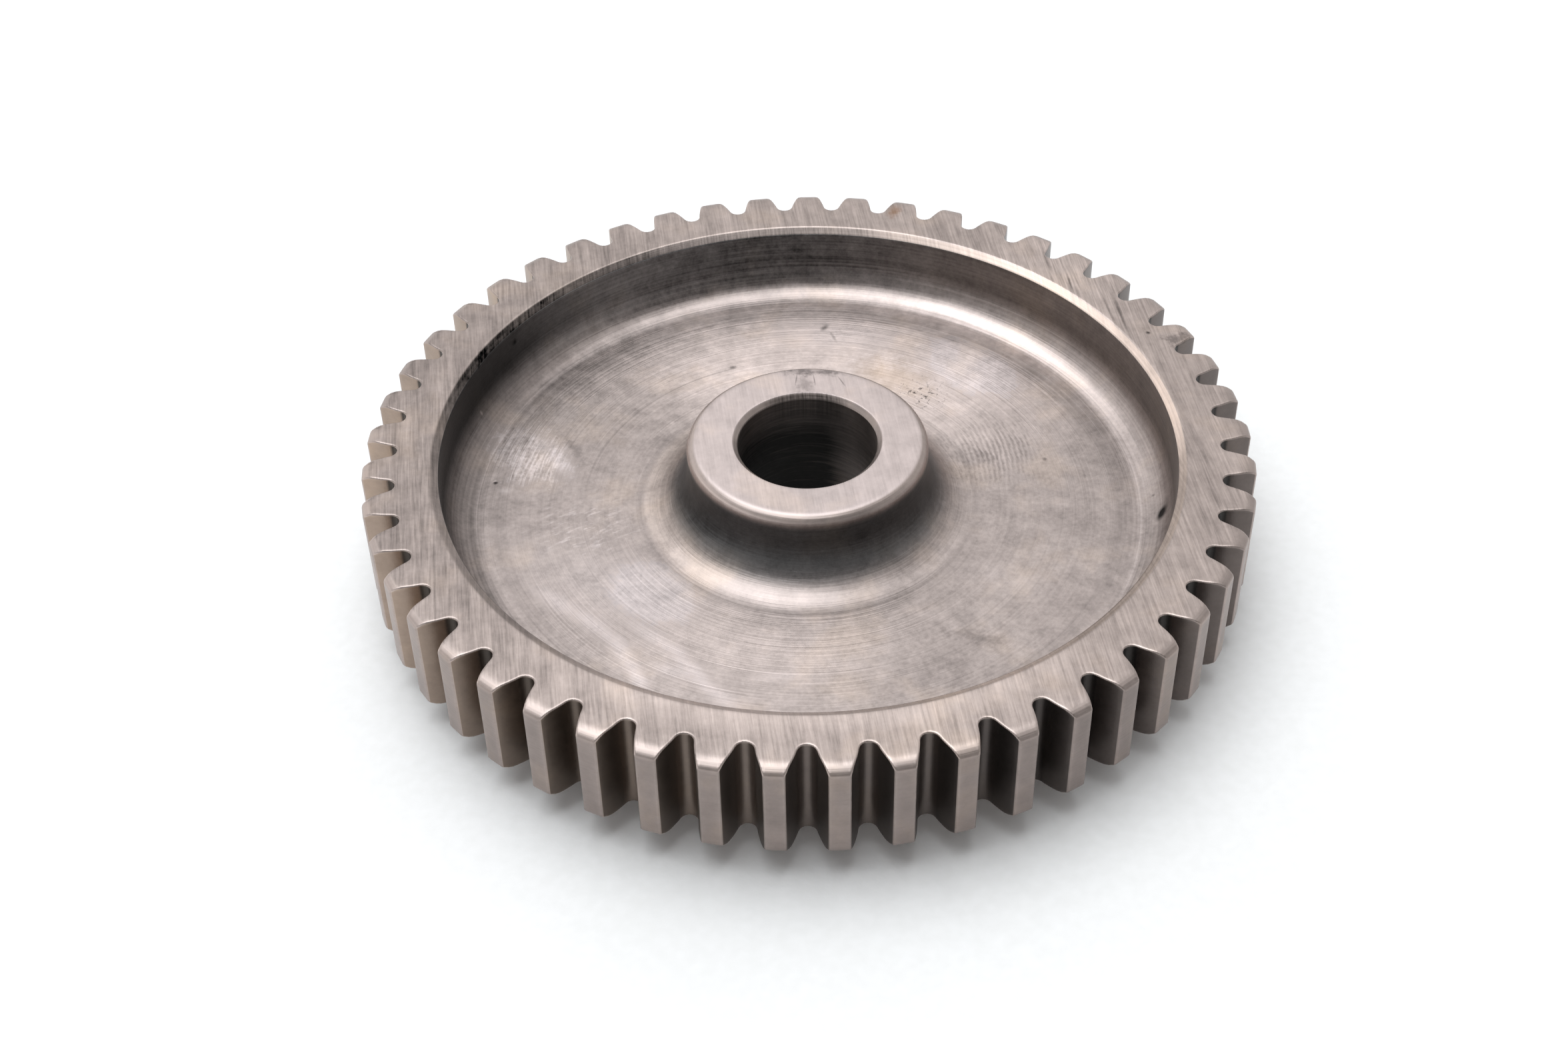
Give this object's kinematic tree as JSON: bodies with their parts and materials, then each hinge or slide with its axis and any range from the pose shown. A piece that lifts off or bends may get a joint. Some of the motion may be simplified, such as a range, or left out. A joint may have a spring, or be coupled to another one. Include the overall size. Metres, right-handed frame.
{
  "type": "starter gear",
  "caption": "Steel spur gear with straight stub teeth, a deep dished web and a plain bored hub, turned and cut from one piece.",
  "frame": {"origin": "on the bore axis, at the lower end face of the hub, on which the gear stands", "axes": "+Z along the bore axis, towards the dished side; -Y through the middle of a tooth gap"},
  "size_m": [0.076, 0.076, 0.0118],
  "materials": {
    "gear_steel": "bare ground and turned steel, satin, with wear, light stains and a trace of rust"
  },
  "bodies": {
    "root": {"starter_gear": "gear_steel"}
  },
  "joints": []
}
